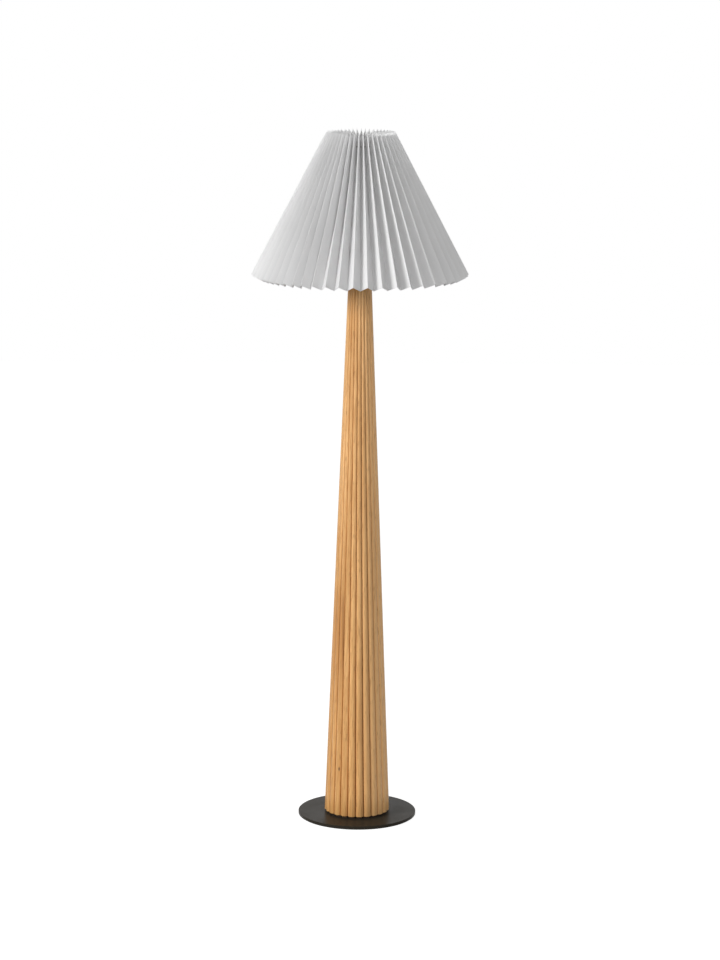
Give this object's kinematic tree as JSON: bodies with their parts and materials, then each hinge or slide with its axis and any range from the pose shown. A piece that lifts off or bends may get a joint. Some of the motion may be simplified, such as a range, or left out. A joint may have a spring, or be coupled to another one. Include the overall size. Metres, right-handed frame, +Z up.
{
  "type": "pleated shade floor lamp",
  "caption": "Floor lamp with a pleated cone shade on a harp, a tall tapered reeded wood column with a hidden bulb socket, and a thin round steel base plate.",
  "frame": {"origin": "centre of the base pad's underside, on the floor", "axes": "+Z up along the column, -Y the front with the switch knob, +Y the back with the cord inlet"},
  "size_m": [0.5, 0.499, 1.614],
  "materials": {
    "pad_felt": "matt foam",
    "plate_steel": "dark bronze, semi-gloss",
    "zinc_steel": "zinc plated",
    "brass": "satin",
    "column_wood": "satin clear lacquer",
    "plug_wood": "raw",
    "black_plastic": "moulded",
    "lead_sheath": "smooth sheath",
    "liner_board": "insulating board",
    "aluminium": "rolled thread",
    "bulb_glass": "frosted",
    "white_plastic": "moulded",
    "harp_wire": "drawn wire",
    "shade_paper": "matt, stiff, folded into pleats",
    "thread": "waxed thread",
    "white_wire": "white powder coat"
  },
  "bodies": {
    "stand": {"base_pad": "pad_felt", "base_plate": "plate_steel", "base_screws": "zinc_steel", "threaded_inserts": "brass", "column": "column_wood", "foot_plug": "plug_wood", "neck_plug": "plug_wood", "neck_washer": "zinc_steel", "neck_nut": "zinc_steel", "cord_bushing": "black_plastic", "supply_lead": "lead_sheath", "threaded_nipple": "zinc_steel", "column_cap": "plate_steel", "cap_nut": "zinc_steel", "neck_collar": "brass", "socket_cap": "brass", "socket_shell": "brass", "socket_liner": "liner_board", "socket_block": "black_plastic", "thread_shell": "aluminium", "centre_contact": "brass", "terminal_screws": "brass", "bulb_cap": "aluminium", "bulb_contact": "zinc_steel", "bulb_glass": "bulb_glass", "bulb_source": "white_plastic", "harp_saddle": "brass", "harp": "harp_wire", "harp_sleeves": "brass", "harp_stud": "brass"},
    "switch": {"switch_shaft": "zinc_steel", "switch_knob": "black_plastic"},
    "shade": {"shade_pleats": "shade_paper", "binding_thread": "thread", "top_ring": "white_wire", "low_ring": "white_wire", "shade_struts": "white_wire", "spider_washer": "white_wire", "spider_arms": "white_wire"},
    "finial_washer": {"finial_washer": "brass"},
    "finial": {"finial": "brass"}
  },
  "joints": [
    {"name": "switch_turn", "type": "hinge", "parent": "stand", "child": "switch", "pos_m": [0, -0.0206, 1.3822], "axis": [0, -1, 0], "continuous": true},
    {"name": "shade_turn", "type": "hinge", "parent": "stand", "child": "shade", "pos_m": [0, 0, 1.584], "axis": [0, 0, 1], "continuous": true},
    {"name": "finial_rise", "type": "slide", "parent": "stand", "child": "finial_washer", "axis": [0, 0, 1], "range_m": [0, 0.0062]},
    {"name": "finial_turn", "type": "hinge", "parent": "finial_washer", "child": "finial", "pos_m": [0, 0, 1.5868], "axis": [0, 0, 1], "range_deg": [0, 2340]}
  ],
  "couplings": [
    {"joint": "finial_rise", "follows": "finial_turn", "m_per_rad": 0.00014961}
  ]
}
